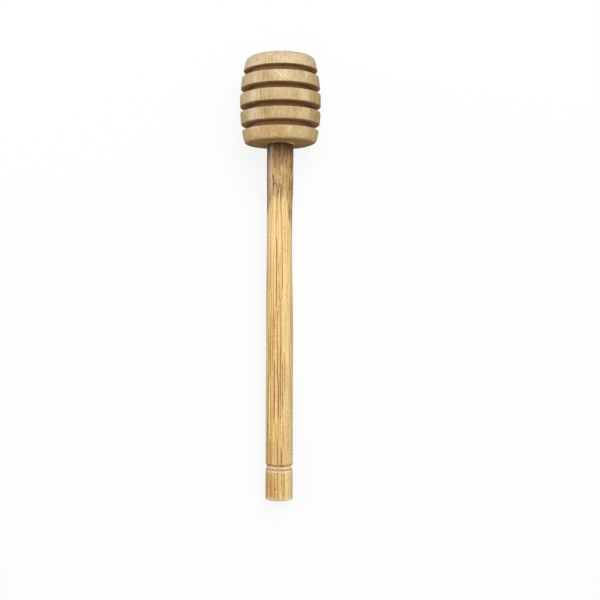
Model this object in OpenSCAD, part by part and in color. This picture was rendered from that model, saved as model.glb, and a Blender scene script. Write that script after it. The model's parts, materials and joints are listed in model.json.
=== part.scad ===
// Honey dipper: a turned wooden head with square grooves, glued on the end of a bamboo handle.
// It lies on a flat surface, on the belly of the head and the end of the handle, with the head towards +Y.
// Every piece is drawn along the dipper's own axis, with distances measured from the tip of the head.

/* [Overall] */
// Length of the whole dipper along its axis
dipper_length = 160; // [130:1:220]

/* [Head] */
// Diameter of the head at its widest place
head_diameter = 29.4; // [26:0.1:45]
// How far the widest place lies from the middle of the head, towards the handle
belly_offset = 1.35; // [-4:0.05:4]
// Radius of the barrel curve that runs along the head
barrel_radius = 59.5; // [40:0.5:200]
// Rounding of the edge around the tip
tip_rounding = 2; // [0.5:0.1:3]
// Rounding of the edge on the handle side
shoulder_rounding = 1.2; // [0.5:0.1:3]

/* [Grooves] */
// Number of grooves around the head
groove_count = 4; // [1:1:7]
// Width of each groove
groove_width = 2.2; // [1:0.1:4]
// Diameter of the core that is left between the groove floors
core_diameter = 21.4; // [15:0.1:24]
// Width of the band between two grooves
band_width = 4.3; // [2:0.1:8]
// Width of the band at the tip
tip_band = 4.9; // [3.5:0.1:9]
// Width of the band on the handle side
shoulder_band = 4.5; // [3.5:0.1:9]

/* [Handle] */
// Diameter of the handle where it goes into the head
seat_diameter = 9.6; // [7:0.1:12]
// Diameter of the handle at its thinnest place
neck_diameter = 9.14; // [6:0.02:12]
// Diameter of the handle where it is held
grip_diameter = 9.8; // [7:0.1:14]
// Straight stretch next to the head
collar_length = 13; // [2:0.5:30]
// Length over which the handle thins to its neck
neck_taper = 12; // [4:0.5:30]
// Length of the neck
neck_length = 9; // [0.5:0.5:30]
// Length over which the handle thickens to its grip
grip_taper = 34; // [4:0.5:45]
// Rounding of the edge at the free end
end_rounding = 0.8; // [0.2:0.1:2]

/* [Ring cut] */
// Distance from the free end to the middle of the cut
ring_from_end = 11.9; // [4:0.1:20]
// Width of the cut
ring_width = 2.1; // [0.5:0.1:4]
// Depth of the cut
ring_depth = 0.45; // [0.1:0.05:1.5]

/* [Glued joint] */
// Depth to which the handle goes into the head
seat_depth = 18; // [6:0.5:22]
// Bevel around the handle's hidden end
seat_bevel = 0.8; // [0.2:0.1:2]
// Thickness of the glue film around the handle
glue_film = 0.1; // [0.05:0.01:0.3]
// Height of the glue pool under the handle's hidden end
glue_pool = 0.8; // [0.2:0.1:2]
// Radius of the bead of glue squeezed out at the mouth of the bore
bead_radius = 0.5; // [0.2:0.05:1]
// Angle of the drill point at the bottom of the bore
drill_point_angle = 118; // [90:1:140]

/* [Hidden] */
$fn = 128;

groove_pitch = groove_width + band_width;
grooves_end = tip_band + groove_count * groove_pitch - band_width;
head_length = grooves_end + shoulder_band;
head_radius = head_diameter / 2;
belly = head_length / 2 + belly_offset;
barrel_centre = head_radius - barrel_radius;

// Distance from the axis to the centre of an edge rounding that touches the barrel curve
function rounding_centre(along, radius) =
    barrel_centre + sqrt(pow(barrel_radius - radius, 2) - pow(along - belly, 2));

// Distance from the tip at which that rounding runs into the barrel curve
function rounding_blend(along, radius) =
    belly + (along - belly) * barrel_radius / (barrel_radius - radius);

tip_centre = rounding_centre(tip_rounding, tip_rounding);
tip_blend = rounding_blend(tip_rounding, tip_rounding);
shoulder_along = head_length - shoulder_rounding;
shoulder_centre = rounding_centre(shoulder_along, shoulder_rounding);
shoulder_blend = rounding_blend(shoulder_along, shoulder_rounding);

seat_start = head_length - seat_depth;
bore_radius = seat_diameter / 2 + glue_film;
bore_start = seat_start - glue_pool;
drill_point = bore_radius / tan(drill_point_angle / 2);

neck_start = head_length + collar_length + neck_taper;
neck_end = neck_start + neck_length;
grip_start = neck_end + grip_taper;
grip_radius = grip_diameter / 2;
ring_start = dipper_length - ring_from_end - ring_width / 2;
end_along = dipper_length - end_rounding;
end_centre = grip_radius - end_rounding;

// Radius of the barrel curve at a distance from the tip
function barrel(along) =
    barrel_centre + sqrt(pow(barrel_radius, 2) - pow(along - belly, 2));

// Radius of an edge rounding at a distance from the flat end that it starts from
function rounded_edge(centre, radius, from_end) =
    centre + sqrt(pow(radius, 2) - pow(radius - from_end, 2));

function in_groove(along) =
    along > tip_band && along < grooves_end && (along - tip_band) % groove_pitch < groove_width;

// Radius of the head at a distance from the tip
function head_outline(along) =
    in_groove(along) ? core_diameter / 2
    : along < tip_blend ? rounded_edge(tip_centre, tip_rounding, along)
    : along > shoulder_blend ? rounded_edge(shoulder_centre, shoulder_rounding, head_length - along)
    : barrel(along);

// Slope of the straight line that touches the handle's rounded end and one point of the head's outline
function slope_to(along, radius) =
    let (run = end_along - along, rise = end_centre - radius)
    asin(-end_rounding / norm([run, rise])) - atan2(rise, run);

// The dipper lies on the steepest of those lines
outline_steps = 400;
lying_slope = max([for (step = [0 : outline_steps])
    let (along = head_length * step / outline_steps)
    slope_to(along, head_outline(along))]);

// Height of the tip's centre over the surface, and the furthest reach both ways along it
tip_height = end_along * sin(lying_slope) + end_centre * cos(lying_slope) + end_rounding;
head_reach = tip_rounding - tip_rounding * cos(lying_slope) + tip_centre * sin(lying_slope);
end_reach = end_along * cos(lying_slope) + end_centre * sin(lying_slope) + end_rounding;

// Lays a piece down: its axis turns towards -Y and drops by the lying slope
module lay_down() {
    translate([0, (end_reach - head_reach) / 2, tip_height])
        rotate([90 + lying_slope, 0, 0])
            children();
}

// Takes the sharp corner off the barrel outline at one flat end, and rounds it
module round_corner(end, along, centre, blend, radius) {
    difference() {
        children();
        polygon([[centre, along], [centre, end], [head_radius + 1, end],
            [head_radius + 1, blend], [barrel(blend), blend]]);
    }
    translate([centre, along])
        circle(r = radius);
}

module barrel_outline() {
    intersection() {
        square([head_radius + 1, head_length]);
        translate([barrel_centre, belly])
            circle(r = barrel_radius);
    }
}

module groove_outlines() {
    for (i = [0 : groove_count - 1])
        translate([core_diameter / 2, tip_band + i * groove_pitch])
            square([head_diameter, groove_width]);
}

module bore_outline() {
    polygon([[0, bore_start - drill_point], [bore_radius, bore_start], [bore_radius, head_length], [0, head_length]]);
}

module head_profile() {
    difference() {
        round_corner(0, tip_rounding, tip_centre, tip_blend, tip_rounding)
            round_corner(head_length, shoulder_along, shoulder_centre, shoulder_blend, shoulder_rounding)
                barrel_outline();
        groove_outlines();
        bore_outline();
    }
}

module handle_profile() {
    seat_radius = seat_diameter / 2;
    neck_radius = neck_diameter / 2;
    ring_radius = grip_radius - ring_depth;
    polygon([
        [0, seat_start],
        [seat_radius - seat_bevel, seat_start],
        [seat_radius, seat_start + seat_bevel],
        [seat_radius, head_length + collar_length],
        [neck_radius, neck_start],
        [neck_radius, neck_end],
        [grip_radius, grip_start],
        [grip_radius, ring_start],
        [ring_radius, ring_start],
        [ring_radius, ring_start + ring_width],
        [grip_radius, ring_start + ring_width],
        [grip_radius, end_along],
        [end_centre, end_along],
        [end_centre, dipper_length],
        [0, dipper_length],
    ]);
    intersection() {
        translate([end_centre, end_along])
            circle(r = end_rounding);
        translate([end_centre, end_along])
            square(end_rounding);
    }
}

module bead_outline() {
    intersection() {
        translate([bore_radius, head_length])
            circle(r = bead_radius);
        translate([0, head_length])
            square([bore_radius + bead_radius, bead_radius]);
    }
}

module glue_profile() {
    difference() {
        union() {
            bore_outline();
            bead_outline();
        }
        handle_profile();
    }
}

module head() {
    color("#D3B888")
        lay_down()
            rotate_extrude()
                head_profile();
}

module handle() {
    color("#DDB577")
        lay_down()
            rotate_extrude()
                handle_profile();
}

module glue_joint() {
    color("#E9DFC6")
        lay_down()
            rotate_extrude()
                glue_profile();
}

head();
handle();
glue_joint();
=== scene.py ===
# Honey dipper: a turned rubberwood head glued on a bamboo handle, lying on a pale floor.
# Sizes are in millimetres. Each piece is modelled standing on the dipper's own axis, with the tip of the
# head at 0 and the free end of the handle at the top, and is then laid down into the frame.
# On a standing piece, +Y is the side that faces up once it lies, and +X stays +X.
import json
import math

import bpy
from mathutils import Euler, Matrix, Vector, noise


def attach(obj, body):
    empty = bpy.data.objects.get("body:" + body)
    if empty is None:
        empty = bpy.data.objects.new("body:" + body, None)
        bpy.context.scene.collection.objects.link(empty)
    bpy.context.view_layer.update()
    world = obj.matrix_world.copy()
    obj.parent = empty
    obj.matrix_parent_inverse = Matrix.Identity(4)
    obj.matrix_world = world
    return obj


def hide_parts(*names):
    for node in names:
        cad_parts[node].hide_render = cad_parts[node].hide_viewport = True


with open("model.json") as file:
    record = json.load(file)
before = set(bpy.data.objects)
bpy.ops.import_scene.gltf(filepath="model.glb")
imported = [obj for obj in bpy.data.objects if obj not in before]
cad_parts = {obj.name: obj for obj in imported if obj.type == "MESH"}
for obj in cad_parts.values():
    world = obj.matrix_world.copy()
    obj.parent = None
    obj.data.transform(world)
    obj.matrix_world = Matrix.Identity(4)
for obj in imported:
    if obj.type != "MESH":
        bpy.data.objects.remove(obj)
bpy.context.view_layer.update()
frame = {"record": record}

MM = 0.001

# Head
TIP_BAND = 4.9
BAND = 4.3
SHOULDER_BAND = 4.5
GROOVE = 2.2
GROOVES = 4
CORE_RADIUS = 10.7
HEAD_RADIUS = 14.7
BARREL_RADIUS = 59.5
BELLY = 16.9
TIP_ROUNDING = 2.0
SHOULDER_FACET = 0.7
SHOULDER_FACE_RADIUS = 12.65
LIP_ROUNDING = 0.16
GROOVE_PITCH = GROOVE + BAND
GROOVES_END = TIP_BAND + GROOVES * GROOVE_PITCH - BAND
HEAD_LENGTH = GROOVES_END + SHOULDER_BAND
BARREL_CENTRE = HEAD_RADIUS - BARREL_RADIUS

# Glued joint
SEAT_RADIUS = 4.8
SEAT_DEPTH = 18.0
SEAT_BEVEL = 0.8
GLUE_FILM = 0.1
GLUE_POOL = 0.8
DRILL_POINT = 2.944
BEAD = 0.48
BORE_RADIUS = SEAT_RADIUS + GLUE_FILM
SEAT_START = HEAD_LENGTH - SEAT_DEPTH
BORE_START = SEAT_START - GLUE_POOL

# Handle
LENGTH = 160.0
NECK_RADIUS = 4.57
GRIP_RADIUS = 4.9
NECK_OFFSET = 0.2
COLLAR_END = HEAD_LENGTH + 13.0
NECK_START = COLLAR_END + 12.0
NECK_END = NECK_START + 9.0
GRIP_START = NECK_END + 34.0
RING_MIDDLE = LENGTH - 11.9
RING_WIDTH = 2.1
RING_DEPTH = 0.45
RING_START = RING_MIDDLE - RING_WIDTH / 2
RING_END = RING_MIDDLE + RING_WIDTH / 2
END_ROUNDING = 0.5

# How finely each piece is turned, and how it meets the light and the floor
HEAD_SIDES = 288
HANDLE_SIDES = 240
GLUE_SIDES = 200
SMOOTH_ANGLE = math.radians(38)
FLOOR_CLEARANCE = 0.01

# The way the dipper lies, as the mount on its tip gives it
tip_mount = next(m for m in frame["record"]["mounts"] if m["name"] == "tip_face")
TIP = Vector(tip_mount["pos_m"])
TO_TIP = Vector(tip_mount["axis"])
LYING = (math.pi / 2 + math.asin(TO_TIP.z), 0.0, 0.0)
LAY_DOWN = Matrix.Translation(TIP) @ Euler(LYING).to_matrix().to_4x4()


# Shapes

def barrel(along):
    """Radius of the head's barrel curve."""
    return BARREL_CENTRE + math.sqrt(BARREL_RADIUS ** 2 - (along - BELLY) ** 2)


def rounding_centre(along, radius):
    """Distance from the axis to the centre of an edge rounding that touches the barrel curve."""
    return BARREL_CENTRE + math.sqrt((BARREL_RADIUS - radius) ** 2 - (along - BELLY) ** 2)


def steps(start, end, size):
    """Evenly spaced values from start to end, about one size apart."""
    count = max(1, round(abs(end - start) / size))
    return [start + (end - start) * i / count for i in range(count + 1)]


def smooth(start, end, value):
    """0 up to start, 1 from end on, and an even S between them."""
    share = min(1.0, max(0.0, (value - start) / (end - start)))
    return share * share * (3 - 2 * share)


def near(middle, width, value):
    """1 at the middle, falling smoothly to 0 one width away on both sides."""
    return 1 - smooth(0, width, abs(value - middle))


def choose(piece):
    """Leaves this piece alone selected and active."""
    bpy.ops.object.select_all(action="DESELECT")
    piece.select_set(True)
    bpy.context.view_layer.objects.active = piece


def turn(name, outline, sides):
    """Turns a piece: draws its outline point by point, as (along, radius), and spins it round the axis."""
    bpy.ops.object.select_all(action="DESELECT")
    bpy.ops.mesh.primitive_plane_add(size=MM)
    piece = bpy.context.object
    piece.name = piece.data.name = name
    bpy.ops.object.mode_set(mode="EDIT")
    bpy.ops.mesh.select_all(action="SELECT")
    bpy.ops.mesh.merge(type="CENTER")
    along, radius = outline[0]
    bpy.ops.transform.translate(value=(0, radius * MM, along * MM))
    for next_along, next_radius in outline[1:]:
        move = (0, (next_radius - radius) * MM, (next_along - along) * MM)
        bpy.ops.mesh.extrude_region_move(TRANSFORM_OT_translate={"value": move})
        along, radius = next_along, next_radius
    bpy.ops.mesh.select_all(action="SELECT")
    bpy.ops.mesh.spin(steps=sides, angle=2 * math.pi, center=(0, 0, 0), axis=(0, 0, 1))
    bpy.ops.mesh.select_all(action="SELECT")
    bpy.ops.mesh.remove_doubles(threshold=0.002 * MM)
    bpy.ops.mesh.normals_make_consistent(inside=False)
    bpy.ops.object.mode_set(mode="OBJECT")
    return piece


def place_of(point):
    """Where a point of a standing piece lies: its angle from the upper side, along and radius."""
    return math.degrees(math.atan2(point.x, point.y)), point.z / MM, math.hypot(point.x, point.y) / MM


def soften(piece, circles, width):
    """Rounds the sharp edges that run round the piece at these (along, radius) places."""
    tolerance = 0.01
    choose(piece)
    bpy.ops.object.mode_set(mode="EDIT")
    bpy.ops.mesh.select_mode(type="EDGE")
    bpy.ops.mesh.select_all(action="DESELECT")
    bpy.ops.object.mode_set(mode="OBJECT")
    vertices = piece.data.vertices
    on_circle = [
        any(abs(along - a) < tolerance and abs(radius - r) < tolerance for a, r in circles)
        for _, along, radius in (place_of(v.co) for v in vertices)
    ]
    for edge in piece.data.edges:
        a, b = edge.vertices
        level = abs(vertices[a].co.z - vertices[b].co.z) < 0.001 * MM
        edge.select = level and on_circle[a] and on_circle[b]
    bpy.ops.object.mode_set(mode="EDIT")
    bpy.ops.mesh.bevel(offset=width * MM, segments=3, affect="EDGES")
    bpy.ops.mesh.select_mode(type="VERT")
    bpy.ops.object.mode_set(mode="OBJECT")


def weigh(piece, name, rule):
    """A vertex group whose weights a rule gives from each point's place."""
    group = piece.vertex_groups.new(name=name)
    for vertex in piece.data.vertices:
        weight = rule(*place_of(vertex.co))
        if weight > 0.001:
            group.add([vertex.index], min(1.0, weight), "REPLACE")
    return name


def paint(piece, name, rule):
    """A painted layer that the material reads, whose strength a rule gives from each point's place."""
    values = [rule(*place_of(vertex.co)) for vertex in piece.data.vertices]
    layer = piece.data.attributes.new(name, "FLOAT", "POINT")
    layer.data.foreach_set("value", values)


def roughen(piece, across, along, height, group, direction="NORMAL", detail=2, level=0.5):
    """Gives the surface bumps of this size. The level is the share of the height that lies inward."""
    bumps = bpy.data.textures.new(piece.name + "_relief", "CLOUDS")
    bumps.noise_basis = "IMPROVED_PERLIN"
    bumps.noise_scale = 1.0
    bumps.noise_depth = detail
    bpy.ops.object.empty_add(scale=(1, 1, 1))
    ruler = bpy.context.object
    ruler.scale = (across * MM, across * MM, along * MM)
    bpy.context.view_layer.update()
    choose(piece)
    relief = piece.modifiers.new("relief", "DISPLACE")
    relief.texture = bumps
    relief.texture_coords = "OBJECT"
    relief.texture_coords_object = ruler
    relief.direction = direction
    relief.mid_level = level
    relief.strength = height * MM
    relief.vertex_group = group
    bpy.ops.object.modifier_apply(modifier=relief.name)
    bpy.data.objects.remove(ruler)


def press(piece, dents):
    """Presses small dents in: each is (angle, along, width, length, depth)."""
    for vertex in piece.data.vertices:
        angle, along, radius = place_of(vertex.co)
        for dent_angle, dent_along, width, length, depth in dents:
            across = math.radians(angle - dent_angle) * radius
            sink = near(0, width / 2, across) * near(dent_along, length / 2, along) * depth
            if radius > depth and sink > 0:
                vertex.co.x *= 1 - sink / radius
                vertex.co.y *= 1 - sink / radius


def finish(piece, node, materials):
    """Smooths a piece, lays it down, puts its place in its mesh and fits it into the frame."""
    for material in materials:
        piece.data.materials.append(material)
    choose(piece)
    bpy.ops.object.shade_smooth_by_angle(angle=SMOOTH_ANGLE)
    piece.matrix_world = LAY_DOWN
    bpy.ops.object.transform_apply(location=True, rotation=True, scale=True)
    for vertex in piece.data.vertices:
        vertex.co.z = max(vertex.co.z, FLOOR_CLEARANCE * MM)
    piece.vertex_groups.clear()
    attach(piece, "root")
    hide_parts(node)


# Materials

def linear(hex_colour):
    """An sRGB hex colour as linear RGBA."""
    values = [int(hex_colour[i:i + 2], 16) / 255 for i in (1, 3, 5)]
    return tuple(v / 12.92 if v <= 0.04045 else ((v + 0.055) / 1.055) ** 2.4 for v in values) + (1.0,)


def add(tree, kind, settings=None, links=None):
    """Adds a node, sets its properties and inputs, and links its inputs to other nodes' outputs."""
    made = tree.nodes.new(kind)
    for name, value in (settings or {}).items():
        if isinstance(name, str) and hasattr(made, name):
            setattr(made, name, value)
        else:
            made.inputs[name].default_value = value
    for name, output in (links or {}).items():
        tree.links.new(output, made.inputs[name])
    return made


def start_material(name):
    """A new material without nodes, and its node tree."""
    material = bpy.data.materials.new(name)
    material.use_nodes = True
    material.node_tree.nodes.clear()
    return material, material.node_tree


def grain(tree, across, along, shift=(0.0, 0.0, 0.0)):
    """Coordinates that stand on the dipper's axis, where 1 is this many millimetres across and along."""
    place = add(tree, "ShaderNodeTexCoord")
    standing = add(tree, "ShaderNodeMapping", {
        "vector_type": "TEXTURE", "Location": TIP, "Rotation": LYING,
        "Scale": (across * MM, across * MM, along * MM)}, {"Vector": place.outputs["Object"]})
    if not any(shift):
        return standing.outputs[0]
    moved = add(tree, "ShaderNodeVectorMath", {"operation": "ADD", 1: shift}, {0: standing.outputs[0]})
    return moved.outputs[0]


def share(tree, value, low, high, to_low=0.0, to_high=1.0):
    """Turns a value between low and high into a smooth share."""
    return add(tree, "ShaderNodeMapRange", {
        "interpolation_type": "SMOOTHSTEP", "From Min": low, "From Max": high,
        "To Min": to_low, "To Max": to_high}, {"Value": value}).outputs[0]


def blend(tree, amount, under, over, how="MIX"):
    """Lays one colour over another by an amount. Each colour is a hex value or a node's output."""
    settings = {"data_type": "RGBA", "blend_type": how}
    links = {}
    for socket, colour in ((6, under), (7, over)):
        if isinstance(colour, str):
            settings[socket] = linear(colour)
        else:
            links[socket] = colour
    if isinstance(amount, float):
        settings[0] = amount
    else:
        links[0] = amount
    return add(tree, "ShaderNodeMix", settings, links).outputs[2]


def times(tree, first, second):
    """One value times another, where the second may be a number."""
    if isinstance(second, (int, float)):
        return add(tree, "ShaderNodeMath", {"operation": "MULTIPLY", 1: second}, {0: first}).outputs[0]
    return add(tree, "ShaderNodeMath", {"operation": "MULTIPLY"}, {0: first, 1: second}).outputs[0]


def plus(tree, first, second):
    """One value plus another, where the second may be a number."""
    if isinstance(second, (int, float)):
        return add(tree, "ShaderNodeMath", {"operation": "ADD", 1: second}, {0: first}).outputs[0]
    return add(tree, "ShaderNodeMath", {"operation": "ADD"}, {0: first, 1: second}).outputs[0]


def turned_rubberwood():
    """Rubberwood, turned and sanded, bare, with fine straight fibres, short brown pores, light flecks and a
    satin sheen. It is more golden toward the shoulder and painted pale cream toward the tip, as painted
    sheen on the tip bands. The two flat ends show browner end grain, with growth rings."""
    material, tree = start_material("Turned rubberwood")
    standing = add(tree, "ShaderNodeSeparateXYZ", {}, {"Vector": grain(tree, 1, 1)})
    along = standing.outputs["Z"]
    fibres = add(tree, "ShaderNodeTexNoise", {"Scale": 1.0, "Detail": 3.0, "Roughness": 0.6}, {
        "Vector": grain(tree, 0.5, 12)})
    threads = add(tree, "ShaderNodeTexNoise", {"Scale": 1.0, "Detail": 2.0}, {"Vector": grain(tree, 0.34, 4)})
    stripes = add(tree, "ShaderNodeTexNoise", {"Scale": 1.0, "Detail": 2.0, "Distortion": 0.4}, {
        "Vector": grain(tree, 2.0, 35)})
    patches = add(tree, "ShaderNodeTexNoise", {"Scale": 1.0, "Detail": 2.0, "Distortion": 0.6}, {
        "Vector": grain(tree, 4, 6)})
    flecks = add(tree, "ShaderNodeTexNoise", {"Scale": 1.0, "Detail": 2.0, "Distortion": 0.3}, {
        "Vector": grain(tree, 0.5, 2.4)})
    pores = add(tree, "ShaderNodeTexNoise", {"Scale": 1.0, "Detail": 1.0}, {"Vector": grain(tree, 0.3, 1.8)})
    specks = add(tree, "ShaderNodeTexNoise", {"Scale": 1.0, "Detail": 2.0}, {
        "Vector": grain(tree, 0.42, 0.5, (5.0, 2.0, 8.0))})
    dark_figure = add(tree, "ShaderNodeAttribute", {"attribute_name": "dark_figure"})
    pale_figure = add(tree, "ShaderNodeAttribute", {"attribute_name": "pale_figure"})

    # Pale cream toward the tip is painted sheen; the wood is more golden toward the shoulder.
    colour = blend(tree, share(tree, along, 4.0, 9.0), "#DAC59E", "#CAAE80")
    colour = blend(tree, share(tree, along, 10.0, 21.0), colour, "#C09F66")
    colour = blend(tree, share(tree, along, 24.0, 28.0), colour, "#CAA869")
    colour = blend(tree, times(tree, share(tree, fibres.outputs[0], 0.45, 0.7), 0.35), colour, "#B98F58")
    colour = blend(tree, times(tree, share(tree, threads.outputs[0], 0.52, 0.62), 0.3), colour, "#A97E4A")
    colour = blend(tree, times(tree, share(tree, stripes.outputs[0], 0.5, 0.64), 0.4), colour, "#C09A60")
    colour = blend(tree, times(tree, share(tree, patches.outputs[0], 0.45, 0.68), 0.4), colour, "#E0C898")
    colour = blend(tree, times(tree, share(tree, flecks.outputs[0], 0.5, 0.62), 0.22), colour, "#EAD6AC")
    colour = blend(tree, share(tree, flecks.outputs[0], 0.38, 0.5, 0.2, 0.0), colour, "#B28A4E")
    colour = blend(tree, share(tree, specks.outputs[0], 0.5, 0.62, 0.0, 0.13), colour, "#F0DCB4")
    colour = blend(tree, share(tree, specks.outputs[0], 0.36, 0.48, 0.15, 0.0), colour, "#A47C46")
    lines = share(tree, threads.outputs[0], 0.4, 0.6, 0.35, 1.3)
    colour = blend(tree, times(tree, dark_figure.outputs["Fac"], lines), colour, "#94693A")
    glints = share(tree, flecks.outputs[0], 0.38, 0.6, 0.6, 1.2)
    colour = blend(tree, times(tree, pale_figure.outputs["Fac"], glints), colour, "#EEDCB4")
    pore = times(tree, share(tree, pores.outputs[0], 0.65, 0.73), 0.35)
    colour = blend(tree, pore, colour, "#86633A")
    tip_face = share(tree, along, 0.05, 0.6, 1.0, 0.0)
    shoulder_face = share(tree, along, HEAD_LENGTH - 0.1, HEAD_LENGTH - 0.01)
    years = add(tree, "ShaderNodeTexWave", {
        "wave_type": "RINGS", "rings_direction": "Z", "wave_profile": "SAW", "Scale": 0.17, "Distortion": 3.0,
        "Detail": 3.0, "Detail Scale": 0.25}, {"Vector": grain(tree, 1, 1, (24.0, -9.0, 0.0))})
    rays = add(tree, "ShaderNodeTexNoise", {"Scale": 1.0, "Detail": 3.0}, {"Vector": grain(tree, 2.2, 2.2)})
    cut_pores = add(tree, "ShaderNodeTexNoise", {"Scale": 1.0, "Detail": 2.0}, {
        "Vector": grain(tree, 0.4, 0.4)})
    uneven = share(tree, rays.outputs[0], 0.35, 0.6, 0.3, 1.0)
    growth = times(tree, share(tree, years.outputs["Fac"], 0.2, 1.0), uneven)
    end_colour = blend(tree, growth, "#C49A5C", "#AA7E44")
    end_colour = blend(tree, share(tree, cut_pores.outputs[0], 0.5, 0.7, 0.0, 0.55), end_colour, "#8E6434")
    colour = blend(tree, times(tree, plus(tree, tip_face, shoulder_face), 0.92), colour, end_colour)

    height = plus(tree, times(tree, threads.outputs[0], 0.5), times(tree, fibres.outputs[0], 0.5))
    height = plus(tree, height, times(tree, pore, -1.0))
    bump = add(tree, "ShaderNodeBump", {"Strength": 0.35, "Distance": 0.05 * MM}, {"Height": height})
    roughness = share(tree, fibres.outputs[0], 0.3, 0.7, 0.32, 0.4)
    shader = add(tree, "ShaderNodeBsdfPrincipled", {"IOR": 1.5}, {
        "Base Color": colour, "Roughness": roughness, "Normal": bump.outputs[0]})
    add(tree, "ShaderNodeOutputMaterial", {}, {"Surface": shader.outputs[0]})
    return material


def sawn_rubberwood():
    """The grooves' walls and floors, which the cutter left rough. Their browner colour, darkest toward the
    floor, is painted shade.
    """
    material, tree = start_material("Sawn rubberwood with painted shade")
    fibres = add(tree, "ShaderNodeTexNoise", {"Scale": 1.0, "Detail": 3.0}, {"Vector": grain(tree, 0.6, 3)})
    marks = add(tree, "ShaderNodeTexNoise", {"Scale": 1.0, "Detail": 2.0}, {"Vector": grain(tree, 3, 0.25)})
    # The grooves' browner colour is painted shade.
    colour = blend(tree, share(tree, fibres.outputs[0], 0.3, 0.7), "#B48C58", "#D0A874")
    colour = blend(tree, times(tree, share(tree, marks.outputs[0], 0.4, 0.7), 0.5), colour, "#84603A")
    flat = add(tree, "ShaderNodeVectorMath", {"operation": "MULTIPLY", 1: (1, 1, 0)}, {0: grain(tree, 1, 1)})
    radius = add(tree, "ShaderNodeVectorMath", {"operation": "LENGTH"}, {0: flat.outputs[0]})
    # Darker toward the groove floor: painted shade.
    colour = blend(tree, share(tree, radius.outputs["Value"], 10.8, 11.6, 0.7, 0.0), colour, "#765430")
    bump = add(tree, "ShaderNodeBump", {"Strength": 0.5, "Distance": 0.08 * MM}, {
        "Height": fibres.outputs[0]})
    shader = add(tree, "ShaderNodeBsdfPrincipled", {"IOR": 1.5, "Roughness": 0.75}, {
        "Base Color": colour, "Normal": bump.outputs[0]})
    add(tree, "ShaderNodeOutputMaterial", {}, {"Surface": shader.outputs[0]})
    return material


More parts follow.
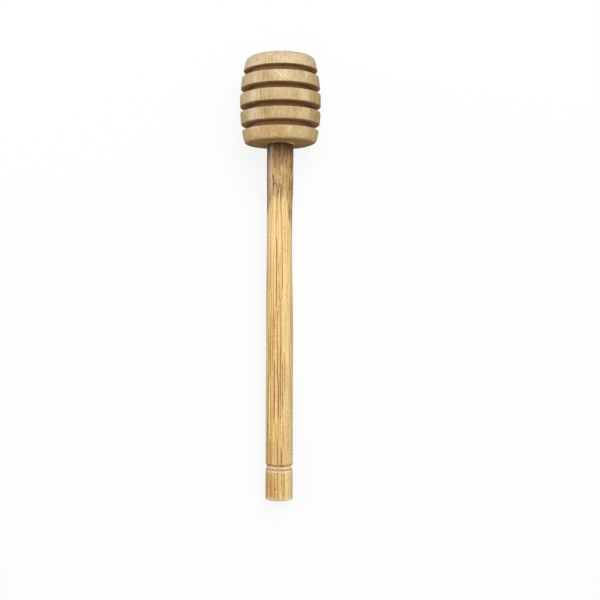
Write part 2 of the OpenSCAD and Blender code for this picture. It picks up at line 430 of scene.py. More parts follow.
def sanded_bamboo():
    """A bamboo stick, turned and sanded: straight fibre bundles, brown and close together on the side of
    the culm's skin and sparse on its inner side, with fine hairs and pale lines in a straw-coloured
    ground. The ground is painted paler near the node and darker toward the free end, as painted light
    that falls off along the handle, and paler toward the right, partly from the inner side and partly
    as painted light. At the node the fibres tangle, and the wood is browner, harder and shinier. Next to
    the head it is painted much darker, as the head's painted shadow; along its left edge it is painted
    darker, as painted shade, and a pale strip along its left side is a painted highlight. Where a cut
    crosses the fibres they fray pale."""
    material, tree = start_material("Sanded bamboo")
    standing = add(tree, "ShaderNodeSeparateXYZ", {}, {"Vector": grain(tree, 1, 1)})
    along = standing.outputs["Z"]
    right = standing.outputs["X"]
    waver = add(tree, "ShaderNodeTexNoise", {"Scale": 1.0, "Detail": 1.0}, {"Vector": grain(tree, 3, 45)})
    wander = add(tree, "ShaderNodeVectorMath", {"operation": "SCALE", "Scale": 0.45}, {
        0: waver.outputs["Color"]})
    bent = add(tree, "ShaderNodeVectorMath", {"operation": "ADD"}, {
        0: grain(tree, 0.46, 200), 1: wander.outputs[0]})
    bundles = add(tree, "ShaderNodeTexVoronoi", {"Scale": 1.0}, {"Vector": bent.outputs[0]})
    tone = add(tree, "ShaderNodeSeparateColor", {}, {"Color": bundles.outputs["Color"]})
    lines = add(tree, "ShaderNodeTexNoise", {"Scale": 1.0, "Detail": 2.0}, {"Vector": grain(tree, 0.42, 40)})
    threads = add(tree, "ShaderNodeTexNoise", {"Scale": 1.0, "Detail": 2.0}, {
        "Vector": grain(tree, 0.42, 24, (7.0, 3.0, 5.0))})
    broad = add(tree, "ShaderNodeTexNoise", {"Scale": 1.0, "Detail": 2.0}, {"Vector": grain(tree, 1.1, 60)})
    strokes = add(tree, "ShaderNodeTexNoise", {"Scale": 1.0, "Detail": 2.0, "Distortion": 0.3}, {
        "Vector": grain(tree, 0.4, 4.6)})
    gleams = add(tree, "ShaderNodeTexNoise", {"Scale": 1.0, "Detail": 2.0, "Distortion": 0.3}, {
        "Vector": grain(tree, 0.4, 4.4, (3.0, 8.0, 1.0))})
    ticks = add(tree, "ShaderNodeTexNoise", {"Scale": 1.0, "Detail": 2.0, "Distortion": 0.4}, {
        "Vector": grain(tree, 0.4, 1.3, (1.0, 5.0, 9.0))})
    hairs = add(tree, "ShaderNodeTexNoise", {"Scale": 1.0, "Detail": 1.0}, {
        "Vector": grain(tree, 0.38, 36, (2.0, 9.0, 4.0))})
    dots = add(tree, "ShaderNodeTexNoise", {"Scale": 1.0, "Detail": 1.0}, {"Vector": grain(tree, 0.45, 0.45)})
    past_node = add(tree, "ShaderNodeAttribute", {"attribute_name": "past_node"})
    stain_and_shade = add(tree, "ShaderNodeAttribute", {"attribute_name": "stain_and_shade"})
    pale_lines = add(tree, "ShaderNodeAttribute", {"attribute_name": "pale_lines"})
    frayed = add(tree, "ShaderNodeAttribute", {"attribute_name": "frayed"})

    skin_side = share(tree, right, -4.5, 3.5, 1.0, 0.25)
    contrast = share(tree, along, 60.0, 110.0, 0.65, 1.0)
    # Paler toward the right: partly the culm's inner side, partly painted light from the right.
    ground = blend(tree, share(tree, right, -2.0, 4.2), "#DCA658", "#F2D08A")
    # Paler near the node and darker toward the free end: painted light that falls off along the handle.
    ground = blend(tree, share(tree, along, 60.0, 120.0, 0.9, 0.0), ground, "#FFDA90")
    ground = blend(tree, share(tree, along, 112.0, 130.0, 0.0, 0.35), ground, "#D8A050")
    colour = blend(tree, times(tree, share(tree, broad.outputs[0], 0.4, 0.62), 0.45), ground, "#CC9448")
    # Paler still on the right toward the free end: partly the inner side, partly painted light.
    inner_side_and_painted_light = times(tree, share(tree, right, 0.6, 2.8), share(tree, along, 50.0, 140.0, 0.35, 0.95))
    colour = blend(tree, inner_side_and_painted_light, colour, "#FCE4B0")
    strip = times(tree, times(tree, share(tree, tone.outputs[0], 0.3, 0.9), contrast), 0.55)
    colour = blend(tree, times(tree, strip, skin_side), colour, "#B87C34")
    colour = blend(tree, times(tree, share(tree, tone.outputs[2], 0.55, 0.95), 0.5), colour, "#FADA92")
    middle = share(tree, bundles.outputs["Distance"], 0.1, 0.4, 1.0, 0.0)
    core = times(tree, middle, share(tree, tone.outputs[1], 0.4, 0.8))
    core = times(tree, times(tree, core, contrast), skin_side)
    colour = blend(tree, times(tree, core, 0.85), colour, "#985E24")
    colour = blend(tree, times(tree, share(tree, lines.outputs[0], 0.5, 0.56), 0.75), colour, "#FCDA8E")
    thread_side = share(tree, right, 0.5, 3.0, 0.8, 0.45)
    dark_threads = times(tree, share(tree, threads.outputs[0], 0.53, 0.58), contrast)
    colour = blend(tree, times(tree, dark_threads, thread_side), colour, "#A86C28")
    colour = blend(tree, share(tree, hairs.outputs[0], 0.5, 0.58, 0.0, 0.5), colour, "#FFDE94")
    colour = blend(tree, share(tree, hairs.outputs[0], 0.41, 0.48, 0.35, 0.0), colour, "#C07E34")
    speck = times(tree, share(tree, dots.outputs[0], 0.5, 0.6), share(tree, right, -1.0, 2.5, 0.3, 0.5))
    colour = blend(tree, speck, colour, "#FBE8B8")
    colour = blend(tree, share(tree, dots.outputs[0], 0.34, 0.47, 0.3, 0.0), colour, "#BC8A46")
    colour = blend(tree, pale_lines.outputs["Fac"], colour, "#FFE6A8")

    node_colour = blend(tree, share(tree, broad.outputs[0], 0.35, 0.65), "#B48C57", "#D0AA70")
    node_colour = blend(tree, share(tree, gleams.outputs[0], 0.52, 0.6, 0.0, 0.6), node_colour, "#E4C492")
    dark_strokes = share(tree, strokes.outputs[0], 0.545, 0.583, 0.0, 0.78)
    node_colour = blend(tree, dark_strokes, node_colour, "#70441E")
    node_colour = blend(tree, share(tree, ticks.outputs[0], 0.58, 0.63, 0.0, 0.6), node_colour, "#74481F")
    # Much darker next to the head: the head's painted shadow on the node.
    node_colour = blend(tree, share(tree, along, 31.0, 41.5, 0.97, 0.0), node_colour, "#5A3618")
    # A pale strip along the node's left side: a painted highlight.
    painted_highlight_strip = times(tree, share(tree, right, -4.3, -3.8), share(tree, right, -3.3, -2.6, 0.3, 0.0))
    highlight_strip_reach = times(tree, share(tree, along, 34.0, 40.0), share(tree, along, 43.0, 49.0, 1.0, 0.4))
    node_colour = blend(tree, times(tree, painted_highlight_strip, highlight_strip_reach), node_colour, "#DCC0A4")
    # Darker along the node's left edge: painted shade.
    node_colour = blend(tree, share(tree, right, -4.75, -4.0, 0.7, 0.0), node_colour, "#6A4420")
    tufts = add(tree, "ShaderNodeTexNoise", {"Scale": 1.0, "Detail": 2.0}, {"Vector": grain(tree, 0.7, 30)})
    fingers = plus(tree, times(tree, tufts.outputs[0], -3.0), times(tree, tone.outputs[0], 1.2))
    fingers = plus(tree, plus(tree, fingers, 0.9), past_node.outputs["Fac"])
    node = share(tree, fingers, -0.9, 0.9, 1.0, 0.0)
    colour = blend(tree, node, colour, node_colour)
    fray_colour = blend(tree, share(tree, dots.outputs[0], 0.38, 0.52), "#DCB478", "#FFF2D2")
    colour = blend(tree, frayed.outputs["Fac"], colour, fray_colour)
    # Brown bundles and pit bottoms, with painted shadow and shade in the ring cut.
    colour = blend(tree, stain_and_shade.outputs["Fac"], colour, "#A8713E", "MULTIPLY")

    height = plus(tree, times(tree, lines.outputs[0], 0.5), times(tree, core, -0.4))
    height = plus(tree, height, times(tree, threads.outputs[0], -0.4))
    bump = add(tree, "ShaderNodeBump", {"Strength": 0.6, "Distance": 0.06 * MM}, {"Height": height})
    roughness = share(tree, node, 0.0, 1.0, 0.5, 0.3)
    gloss = share(tree, node, 0.0, 1.0, 0.24, 0.22)
    shader = add(tree, "ShaderNodeBsdfPrincipled", {"IOR": 1.5}, {
        "Base Color": colour, "Roughness": roughness, "Specular IOR Level": gloss, "Normal": bump.outputs[0]})
    add(tree, "ShaderNodeOutputMaterial", {}, {"Surface": shader.outputs[0]})
    return material


def dried_glue():
    """Wood glue that was squeezed out and dried: cloudy, cream to amber, and a little glossy."""
    material, tree = start_material("Dried wood glue")
    clouds = add(tree, "ShaderNodeTexNoise", {"Scale": 1.0, "Detail": 2.0}, {"Vector": grain(tree, 0.6, 0.6)})
    colour = blend(tree, share(tree, clouds.outputs[0], 0.35, 0.65), "#BC9658", "#ECD8A8")
    shader = add(tree, "ShaderNodeBsdfPrincipled", {
        "IOR": 1.48, "Roughness": 0.35, "Subsurface Weight": 0.2, "Subsurface Scale": 0.4 * MM}, {
        "Base Color": colour})
    add(tree, "ShaderNodeOutputMaterial", {}, {"Surface": shader.outputs[0]})
    return material


def pale_floor():
    """A pale matt sheet. The camera sees it nearly white, with a soft shadow of the dipper, and gloss on the
    dipper reflects it darker, so that the sides keep their own colour."""
    material, tree = start_material("Pale floor sheet")
    glow = 0.85
    path = add(tree, "ShaderNodeLightPath")
    seen = path.outputs["Is Camera Ray"]
    sheet_colour = blend(tree, seen, "#B4B4B4", "#F4F4F4")
    sheet_colour = blend(tree, path.outputs["Is Glossy Ray"], sheet_colour, "#7C766C")
    sheet = add(tree, "ShaderNodeBsdfDiffuse", {}, {"Color": sheet_colour})
    white = add(tree, "ShaderNodeEmission", {"Color": (1, 1, 1, 1), "Strength": 1.0})
    mixed = add(tree, "ShaderNodeMixShader", {}, {
        0: times(tree, seen, glow), 1: sheet.outputs[0], 2: white.outputs[0]})
    add(tree, "ShaderNodeOutputMaterial", {}, {"Surface": mixed.outputs[0]})
    return material


# Head

def arc(along, centre, radius, start, end, count):
    """Points of an edge rounding, from one angle to another, where 90 degrees points away from the axis."""
    angles = [math.radians(start + (end - start) * i / count) for i in range(count + 1)]
    return [(along + radius * math.cos(a), centre + radius * math.sin(a)) for a in angles]


def head_outline():
    """From the tip over bands and grooves to the shoulder, and down the bore."""
    fine = 0.4
    tip_centre = rounding_centre(TIP_ROUNDING, TIP_ROUNDING)
    facet = HEAD_LENGTH - SHOULDER_FACET
    points = [(0.0, radius) for radius in steps(0.0, tip_centre, 2 * fine)]
    points += arc(TIP_ROUNDING, tip_centre, TIP_ROUNDING, 180, 105, 6)[1:]
    start = TIP_ROUNDING
    for groove in range(GROOVES):
        wall = TIP_BAND + groove * GROOVE_PITCH
        far = wall + GROOVE
        points += [(along, barrel(along)) for along in steps(start, wall, fine)]
        points += [(wall, radius) for radius in steps(barrel(wall), CORE_RADIUS, fine)[1:]]
        points += [(along, CORE_RADIUS) for along in steps(wall, far, fine)[1:]]
        points += [(far, radius) for radius in steps(CORE_RADIUS, barrel(far), fine)[1:-1]]
        start = far
    points += [(along, barrel(along)) for along in steps(start, facet, 2 * fine)]
    points += [(HEAD_LENGTH, radius) for radius in steps(SHOULDER_FACE_RADIUS, BORE_RADIUS, 2 * fine)]
    points += [(along, BORE_RADIUS) for along in steps(HEAD_LENGTH, BORE_START, 3.0)[1:]]
    points.append((BORE_START - DRILL_POINT, 0.0))
    return points


def groove_lips(side):
    """The (along, radius) places of the sharp edges on one side of the grooves."""
    walls = [TIP_BAND + groove * GROOVE_PITCH + side for groove in range(GROOVES)]
    return [(wall, barrel(wall)) for wall in walls]


def on_the_outside(angle, along, radius):
    """1 on the head's outside, 0 in its bore."""
    return 1.0 if radius > BORE_RADIUS + 0.3 else 0.0


def streak(angle, along, radius, marks):
    """How strongly fine marks that follow the grain show at a place.
    Each mark is (angle at its start, angle at its end, start, end, half width, strength)."""
    margin = 3
    waver = 0.9
    deepest = 0.0
    for start_angle, end_angle, start, end, width, strength in marks:
        if start - margin < along < end + margin:
            middle = start_angle + (end_angle - start_angle) * (along - start) / (end - start)
            middle += noise.noise(Vector((start_angle, start, along * 0.12))) * waver
            across = math.radians(angle - middle) * radius
            blur = min(1.5, (end - start) / 4)
            fade = smooth(start - blur, start + blur, along) * (1 - smooth(end - blur, end + blur, along))
            deepest = max(deepest, near(0, width, across) * fade * strength)
    return deepest


# Shallow dents in the head's two edges: angle, along, width, length, depth
HEAD_DENTS = [(-62, 0.2, 18, 3, 0.12), (112, HEAD_LENGTH, 17, 3.4, 0.6)]
# Dark and pale figure of the head's wood, as marks for streak
DARK_FIGURE = [
    (46, 47, 0.3, 4.9, 3.0, 0.17), (64, 64, 7.2, 11.4, 2.5, 0.12), (-26, -25, 0.5, 4.9, 0.43, 0.37),
    (-16, -15, 0.5, 4.9, 0.38, 0.31), (-27, -26, 8, 11, 0.57, 0.37), (-20, -19, 7.2, 11.4, 0.57, 0.41),
    (-14, -13, 8.5, 11.4, 0.48, 0.25), (-29.4, -29.1, 13.6, 24.4, 0.43, 0.46),
    (-24, -21.7, 13.6, 24.4, 0.43, 0.46), (-19.6, -19, 19, 24.4, 0.32, 0.52),
    (-17.6, -16, 13.6, 24.4, 0.38, 0.52), (-11, -10, 13.6, 18, 0.32, 0.31), (2, 2, 13.6, 18, 0.38, 0.25),
    (8, 9, 14, 24, 0.32, 0.21), (47, 47, 13.6, 24.4, 0.48, 0.6), (54, 54, 13.6, 24.4, 0.48, 0.68),
    (61, 60, 13.6, 24.4, 0.57, 0.68), (68, 68, 13.6, 24.4, 0.57, 0.54),
    (-20.4, -19.8, 27.5, 30.5, 0.38, 0.61), (-25, -23, 27, 30.5, 0.57, 0.31),
    (-32, -30, 26.6, 30, 0.77, 0.31), (-3.6, -2, 27.5, 30.5, 0.66, 0.31), (2, 3, 27, 30, 0.48, 0.21),
    (50, 50, 27, 30.5, 0.48, 0.41), (57, 59, 7.2, 11.4, 0.57, 0.41), (49, 53, 7.2, 11.4, 0.38, 0.41),
]
PALE_FIGURE = [
    (-11.9, 0, 6.9, 9.8, 0.34, 0.9), (-8, 3, 7.2, 10.4, 0.3, 0.8), (-3, 8, 6.8, 10.2, 0.34, 0.8),
    (4, 11, 6.8, 9.6, 0.3, 0.7), (-6, 30, 2.5, 3.6, 0.9, 0.25), (38, 42, 1.5, 4.9, 0.9, 0.5),
    (45, 48, 1.0, 4.9, 0.6, 0.3), (37, 40, 7.6, 10.6, 1.1, 0.45), (-41, -40, 9.0, 10.6, 0.7, 0.35),
    (-33, -32, 13.6, 18.0, 0.5, 0.4), (-44, -44, 13.6, 18.0, 0.4, 0.3), (34, 35, 13.6, 18.0, 3.4, 0.6),
    (31, 33, 20.0, 24.4, 3.2, 0.35), (39, 40, 20.6, 24.0, 0.6, 0.4), (11.4, 11.4, 27.4, 29.6, 0.9, 0.35),
    (30, 32, 26.6, 30.6, 3.0, 0.3),
]


def make_head():
    """The turned head, with softened groove lips and a second material in its grooves."""
    head = turn("turned_head", head_outline(), HEAD_SIDES)
    soften(head, groove_lips(0), 0.3)
    soften(head, groove_lips(GROOVE), LIP_ROUNDING)
    facet = HEAD_LENGTH - SHOULDER_FACET
    soften(head, [(facet, barrel(facet)), (HEAD_LENGTH, SHOULDER_FACE_RADIUS)], 0.4)
    outside = weigh(head, "outside", on_the_outside)
    roughen(head, 6.0, 9.0, 0.08, outside, level=0.75)
    roughen(head, 0.5, 5.0, 0.03, outside, level=0.75)
    lips = groove_lips(0) + groove_lips(GROOVE)
    rough_lips = weigh(head, "lips", lambda angle, along, radius: max(
        near(a, 0.3, along) * near(r, 0.3, radius) for a, r in lips))
    roughen(head, 0.45, 3.0, 0.14, rough_lips, "Z")
    press(head, HEAD_DENTS)
    paint(head, "dark_figure", lambda angle, along, radius: streak(angle, along, radius, DARK_FIGURE))
    paint(head, "pale_figure", lambda angle, along, radius: streak(angle, along, radius, PALE_FIGURE))
    finish(head, "head", [turned_rubberwood(), sawn_rubberwood()])
    back = LAY_DOWN.inverted()
    for face in head.data.polygons:
        _, along, radius = place_of(back @ face.center)
        in_groove = TIP_BAND - 0.1 < along < GROOVES_END + 0.1 and radius < barrel(along) - LIP_ROUNDING * 1.5
        face.material_index = 1 if in_groove and radius > BORE_RADIUS + 1 else 0


# Handle

def handle_radius(along):
    """Radius of the collar, the neck and the grip, which run smoothly into each other."""
    to_neck = smooth(COLLAR_END, NECK_START, along)
    to_grip = smooth(NECK_END, GRIP_START, along)
    return SEAT_RADIUS + (NECK_RADIUS - SEAT_RADIUS) * to_neck + (GRIP_RADIUS - NECK_RADIUS) * to_grip


def handle_outline():
    """From the hidden end in the head to the free end, with the ring cut."""
    ring_radius = GRIP_RADIUS - RING_DEPTH
    fine = 0.14
    points = [(SEAT_START, 0.0), (SEAT_START, SEAT_RADIUS - SEAT_BEVEL)]
    points.append((SEAT_START + SEAT_BEVEL, SEAT_RADIUS))
    points += [(along, SEAT_RADIUS) for along in steps(SEAT_START + 3, HEAD_LENGTH - 1, 3.0)]
    points += [(along, handle_radius(along)) for along in steps(HEAD_LENGTH - 0.5, RING_START - 1.0, 0.45)]
    points += [(along, GRIP_RADIUS) for along in steps(RING_START - 1.0, RING_START, fine)[1:]]
    points += [(RING_START, radius) for radius in steps(GRIP_RADIUS, ring_radius, fine)[1:-1]]
    points += [(along, ring_radius) for along in steps(RING_START, RING_END, fine)]
    points += [(RING_END, radius) for radius in steps(ring_radius, GRIP_RADIUS, fine)[1:-1]]
    points += [(along, GRIP_RADIUS) for along in steps(RING_END, RING_END + 1.0, fine)]
    points += [(along, GRIP_RADIUS) for along in steps(RING_END + 1.0, LENGTH - END_ROUNDING, 0.3)[1:-1]]
    points += arc(LENGTH - END_ROUNDING, GRIP_RADIUS - END_ROUNDING, END_ROUNDING, 90, 0, 6)
    points += [(LENGTH, radius) for radius in steps(GRIP_RADIUS - END_ROUNDING, 0.0, 0.3)[1:]]
    return points


# Dark pits: angle, along, width, length, depth
PITS = [
    (-24, 46.0, 1.0, 1.8, 0.22), (-32, 46.4, 0.6, 1.6, 0.15), (44, 45.4, 0.5, 1.6, 0.12),
    (36, 46.4, 0.7, 1.6, 0.15), (30, 43.2, 0.6, 1.6, 0.15), (-18.5, 155.6, 1.0, 1.7, 0.2),
    (150, 45.0, 0.9, 1.4, 0.2), (-130, 47.0, 1.0, 1.2, 0.2),
]
# Brown fibre bundles that show more than the rest, as marks for streak
STREAKS = [
    (-22, -21, 30, 36.5, 0.3, 0.6), (-6, -5, 30, 39.5, 0.3, 0.8), (5, 4, 30, 38.5, 0.3, 0.8),
    (18, 18, 30, 36, 0.3, 0.6), (33, 32, 30, 37, 0.3, 0.5), (-19.5, -19.2, 50, 60, 0.3, 0.7),
    (-10.9, -10.9, 50, 58, 0.26, 0.7), (2, 2.4, 50, 56.5, 0.36, 0.9), (6, 7.5, 56, 67, 0.3, 0.85),
    (8.5, 11, 66, 84, 0.3, 1), (-15, -14.6, 66, 90, 0.34, 0.95), (-1, -1, 72, 88, 0.3, 0.5),
    (2.3, 2.3, 88, 104, 0.34, 0.5), (2.3, 2.3, 104, 123, 0.34, 0.85), (-28.8, -28.8, 68, 88, 0.3, 0.5),
    (-28.8, -28.8, 86, 108, 0.32, 0.45), (-44.4, -44.4, 70, 84, 0.3, 0.55), (-58, -58, 66, 84, 0.3, 0.3),
    (-39, -39, 85, 98, 0.28, 0.4), (-58.5, -58.5, 88, 108, 0.34, 0.35), (-44.4, -44.4, 104, 115, 0.34, 0.6),
    (-10.7, -10.7, 91, 117, 0.34, 0.85), (-6.3, -6.3, 116.5, 130, 0.36, 1), (-24, -23.8, 110, 131, 0.4, 1),
    (-57.5, -57.5, 115, 138, 0.42, 0.9), (-41.5, -41.5, 118, 132, 0.34, 0.35),
    (10.6, 10.6, 110, 127, 0.32, 0.85), (19.3, 19.3, 107, 121, 0.3, 0.7), (33, 33, 111, 119, 0.3, 0.35),
    (50.5, 50.5, 113, 124, 0.3, 0.4), (52, 52, 86, 98, 0.4, 0.4), (-14.8, -14.8, 132, 138, 0.34, 0.6),
    (15, 15, 132, 139, 0.3, 0.6), (-30, -29, 116, 146, 0.34, 0.3), (7.4, 7.6, 141, 147.2, 0.4, 1),
    (-43.5, -42, 138, 146.5, 0.4, 0.8), (-60, -58, 138, 160, 0.36, 0.5), (-57, -56, 152, 160, 0.3, 0.7),
    (-39.5, -39, 152, 160, 0.3, 0.8), (-8, -8, 141, 160, 0.34, 0.49), (-25, -24, 150, 160, 0.34, 0.49),
    (18, 18, 150, 158, 0.34, 0.42), (33, 33, 138, 147, 0.34, 0.35), (120, 121, 60, 110, 0.4, 0.7),
    (165, 166, 90, 150, 0.4, 0.7), (-140, -139, 70, 130, 0.4, 0.7), (-100, -99, 55, 90, 0.4, 0.56),
    (85, 86, 110, 150, 0.4, 0.56),
]
# Pale fibre lines between the bundles, as marks for streak
PALE_STREAKS = [
    (-15.5, -15.5, 49.8, 57, 0.22, 0.7), (-6, -6, 49.5, 58, 0.3, 0.6), (-24, -24, 50.5, 90, 0.3, 0.7),
    (-33.7, -33.7, 66, 94, 0.3, 0.6), (-39, -39, 60, 76, 0.28, 0.5), (-51, -51, 60, 80, 0.28, 0.5),
    (-44.4, -44.4, 85, 93, 0.28, 0.6), (-10.7, -10.7, 66, 88, 0.28, 0.4), (2.3, 2.3, 58, 84, 0.28, 0.35),
    (15, 15, 64, 84, 0.28, 0.6), (28.8, 28.8, 58, 82, 0.28, 0.5), (33.7, 33.7, 84, 106, 0.28, 0.5),
    (39, 39, 107, 118, 0.28, 0.5), (28.8, 28.8, 119, 138, 0.28, 0.6), (-19.5, -19.5, 98, 121, 0.28, 0.6),
    (-33.7, -33.7, 113, 125, 0.28, 0.6), (-51, -51, 116, 138, 0.3, 0.7), (-10.7, -10.7, 124, 138, 0.28, 0.6),
    (15, 15, 92, 120, 0.26, 0.4), (19.3, 19.3, 86, 106, 0.26, 0.5), (-24, -24, 134, 139, 0.28, 0.7),
    (50, 50, 130, 138, 0.3, 0.6), (95, 95, 60, 130, 0.3, 0.5), (140, 140, 70, 140, 0.3, 0.5),
    (-170, -170, 60, 120, 0.3, 0.5), (-120, -120, 80, 150, 0.3, 0.5),
]
# How far along the handle its brown node reaches, as (angle, along) round the handle
NODE_EDGE = [
    (-180, 60), (-110, 62), (-66, 54.8), (-44, 52.0), (-34, 51.0), (-29, 50.2), (-26, 49.3), (-22, 51.0),
    (-19, 52.0), (-16, 49.8), (-12, 52.4), (-8, 49.4), (-4, 49.2), (-1, 50.6), (2, 55.6), (5, 50.2),
    (8, 50.0), (12, 52.4), (16, 49.2), (22, 49.2), (30, 50.0), (38, 54.0), (44, 57.0), (59, 60), (75, 65),
    (110, 64), (180, 60),
]


def between(points, value):
    """Reads a curve that runs straight from point to point."""
    for (start, low), (end, high) in zip(points, points[1:]):
        if value <= end:
            return low + (high - low) * (value - start) / (end - start)
    return points[-1][1]


def past_node(angle, along, radius):
    """How far a place lies past the node's edge, where 1 is the width over which the two blend."""
    softness = 0.65 + 2.35 * smooth(12, 25, angle) + 2.0 * smooth(28, 50, -angle)
    return max(-8.0, min(8.0, (along - between(NODE_EDGE, angle)) / softness))


def wave(angle, size):
    """Uneven steps round the handle, as torn fibre ends make them."""
    turned = math.radians(angle)
    return size * noise.noise(Vector((math.sin(turned) * 9, math.cos(turned) * 9, 3.0)))


def stain_and_shade_strength(angle, along, radius):
    """Brown bundles, the dark bottoms of the pits, and dark lines along both sides of the ring: the painted
    shadow of the lip nearer the head, with some dirt, and painted shade at the foot of the far wall.
    """
    deepest = streak(angle, along, radius, STREAKS)
    for middle, pit_along, width, length, depth in PITS:
        across = math.radians(angle - middle) * radius
        deepest = max(deepest, near(0, width / 2, across) * near(pit_along, length / 2, along))
    # Painted shadow of the ring's lip nearer the head, with some dirt.
    upper = near(RING_START + 0.1 + wave(angle, 0.5), 0.4, along)
    # Painted shade at the foot of the ring's far wall.
    lower = 0.6 * near(RING_END - 0.3 + wave(angle + 40, 0.4), 0.35, along)
    return max(deepest, upper, lower)


def frayed_strength(angle, along, radius):
    """1 where a cut across the fibres frayed them pale: in the ring, on its far lip, and on the end's rim."""
    floor_start = RING_START + 0.4 + wave(angle + 90, 0.5)
    floor = 0.8 * smooth(floor_start, floor_start + 0.3, along)
    floor *= 1 - smooth(RING_END - 0.9, RING_END - 0.5, along)
    lip_end = RING_END + 0.5 + wave(angle + 200, 0.8)
    lip = smooth(RING_END - 0.2, RING_END, along) * (1 - smooth(lip_end - 0.2, lip_end + 0.3, along))
    end_start = LENGTH - 0.9 + wave(angle, 1.6)
    rim = 0.8 * smooth(end_start - 0.3, end_start + 0.5, along) * (1 - 0.75 * smooth(4.5, 3.9, radius))
    return max(floor, lip, rim)


def bow_neck(handle):
    """Bows the neck a little to the left, as in the photograph."""
    for vertex in handle.data.vertices:
        along = vertex.co.z / MM
        bowed = smooth(44, 62, along) * (1 - smooth(72, 100, along))
        vertex.co.x -= NECK_OFFSET * MM * bowed


def make_handle():
    """The bamboo handle, with its node, its pits, the ragged ring cut and the frayed end."""
    handle = turn("bamboo_handle", handle_outline(), HANDLE_SIDES)
    outside = weigh(handle, "outside", lambda angle, along, radius: 1.0 if along > HEAD_LENGTH - 1 else 0.0)
    roughen(handle, 0.45, 30.0, 0.07, outside)
    roughen(handle, 3.0, 25.0, 0.06, outside)
    ragged = weigh(handle, "ragged", lambda angle, along, radius: max(
        near(RING_START, 0.7, along), near(RING_END, 0.7, along)))
    roughen(handle, 0.4, 50.0, 1.5, ragged, "Z", 3)
    rim = weigh(handle, "rim", lambda angle, along, radius: (
        near(LENGTH, 0.8, along) * smooth(3.5, 4.2, radius)))
    roughen(handle, 0.5, 50.0, 0.9, rim, "Z", 3, 0.8)
    cut = weigh(handle, "cut", lambda angle, along, radius: near(RING_MIDDLE, RING_WIDTH * 0.7, along))
    roughen(handle, 0.45, 0.9, 0.7, cut)
    press(handle, PITS)
    bow_neck(handle)
    paint(handle, "past_node", past_node)
    paint(handle, "stain_and_shade", stain_and_shade_strength)
    paint(handle, "pale_lines", lambda angle, along, radius: streak(angle, along, radius, PALE_STREAKS))
    paint(handle, "frayed", frayed_strength)
    finish(handle, "handle", [sanded_bamboo()])


# Glue

def glue_outline():
    """From the bottom of the bore up round the handle's end, to the bead at the mouth."""
    points = [(BORE_START - DRILL_POINT, 0.0), (BORE_START, BORE_RADIUS)]
    points += [(along, BORE_RADIUS) for along in steps(BORE_START, HEAD_LENGTH, 2.0)[1:]]
    points += arc(HEAD_LENGTH, BORE_RADIUS, BEAD, 90, 0, 6)
    points.append((HEAD_LENGTH + BEAD, SEAT_RADIUS))
    points += [(along, SEAT_RADIUS) for along in steps(HEAD_LENGTH, SEAT_START + SEAT_BEVEL, 2.0)]
    points += [(SEAT_START, SEAT_RADIUS - SEAT_BEVEL), (SEAT_START, 0.0)]
    return points


def bead_size(angle):
    """How much of the full bead shows at an angle: a broken, thin line, with lumps on the right side."""
    turned = math.radians(angle)
    broken = 0.5 + 0.9 * noise.noise(Vector((math.sin(turned) * 3, math.cos(turned) * 3, 0)))
    lumps = smooth(20, 45, angle) * (1 - smooth(85, 110, angle))
    lumpy = 1.0 + 0.8 * noise.noise(Vector((angle * 0.15, 0, 5)))
    return max(0.15, broken * 0.5 * (1 - lumps) + min(1.0, 0.8 * lumpy) * lumps)


def make_glue():
    """The glue: its film and pool are hidden, and its squeezed-out bead shows unevenly."""
    glue = turn("glue_bead", glue_outline(), GLUE_SIDES)
    for vertex in glue.data.vertices:
        angle, along, radius = place_of(vertex.co)
        if along > HEAD_LENGTH - 0.01:
            size = bead_size(angle)
            spread = min(1.0, 0.55 + size)
            new_radius = BORE_RADIUS + (radius - BORE_RADIUS) * spread if radius > BORE_RADIUS else radius
            vertex.co.x *= new_radius / radius
            vertex.co.y *= new_radius / radius
            vertex.co.z = (HEAD_LENGTH + (along - HEAD_LENGTH) * size) * MM
    squeezed = weigh(glue, "squeezed", lambda angle, along, radius: (
        smooth(HEAD_LENGTH, HEAD_LENGTH + 0.2, along)))
    roughen(glue, 0.5, 0.5, 0.25, squeezed)
    finish(glue, "glue_joint", [dried_glue()])


# Light

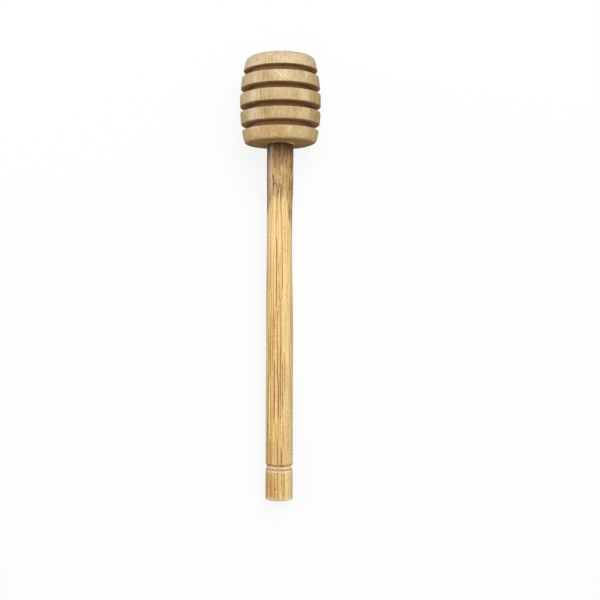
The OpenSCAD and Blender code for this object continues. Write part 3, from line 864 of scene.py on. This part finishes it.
def softbox(name, place, aim, width, height, power, colour):
    """A studio lamp that faces its aim. Places are in metres."""
    bpy.ops.object.light_add(type="AREA", location=place)
    lamp = bpy.context.object
    lamp.name = name
    lamp.data.shape = "RECTANGLE"
    lamp.data.size = width
    lamp.data.size_y = height
    lamp.data.energy = power
    lamp.data.color = linear(colour)[:3]
    lamp.rotation_euler = (Vector(aim) - Vector(place)).to_track_quat("-Z", "Y").to_euler()


make_head()
make_handle()
make_glue()

# Camera: the photograph's view, in a 600 by 600 pixel frame
FRAME_SIZE = 600
FOCAL_PIXELS = 1000.0
SENSOR = 36.0
AXIS_PIXEL = 252.95
CAMERA_ALONG = 91.77
CAMERA_HEIGHT = 362.7
CAMERA_SIDE = -9.7
CAMERA_LEAN = math.radians(0.62)
CAMERA_ROLL = math.radians(0.223)

upward = Vector((1, 0, 0)).cross(TO_TIP)
looking = TO_TIP * math.sin(CAMERA_LEAN) - upward * math.cos(CAMERA_LEAN)
side = looking.cross(TO_TIP).normalized()
camera_turn = Matrix((side, side.cross(looking), -looking)).transposed()
bpy.ops.object.camera_add()
camera = bpy.context.object
camera.data.sensor_width = SENSOR
camera.data.lens = SENSOR * FOCAL_PIXELS / FRAME_SIZE
camera.data.shift_x = 0.5 - AXIS_PIXEL / FRAME_SIZE
camera.data.clip_start = 0.01
camera.location = TIP + (upward * CAMERA_HEIGHT - TO_TIP * CAMERA_ALONG + Vector((CAMERA_SIDE, 0, 0))) * MM
camera.rotation_euler = (camera_turn @ Matrix.Rotation(CAMERA_ROLL, 3, "Z")).to_euler()
scene = bpy.context.scene
scene.camera = camera
scene.view_settings.view_transform = "Standard"

# Floor and light. The floor's size is in metres.
FLOOR_SIZE = 4.0
SKY_STRENGTH = 0.51

bpy.ops.mesh.primitive_plane_add(size=FLOOR_SIZE)
floor = bpy.context.object
floor.name = "floor"
floor.data.materials.append(pale_floor())

softbox("key_softbox", (0.12, 0.22, 0.56), (0.0, 0.02, 0.01), 0.5, 0.5, 2.5, "#FFFFFF")
softbox("window_softbox", (-0.38, 0.105, 0.06), (0.0, 0.05, 0.01), 0.12, 0.11, 0.58, "#DCE8FF")

world = bpy.data.worlds.new("Studio")
scene.world = world
world.use_nodes = True
sky = world.node_tree.nodes["Background"]
sky.inputs["Color"].default_value = (1, 1, 1, 1)
sky.inputs["Strength"].default_value = SKY_STRENGTH
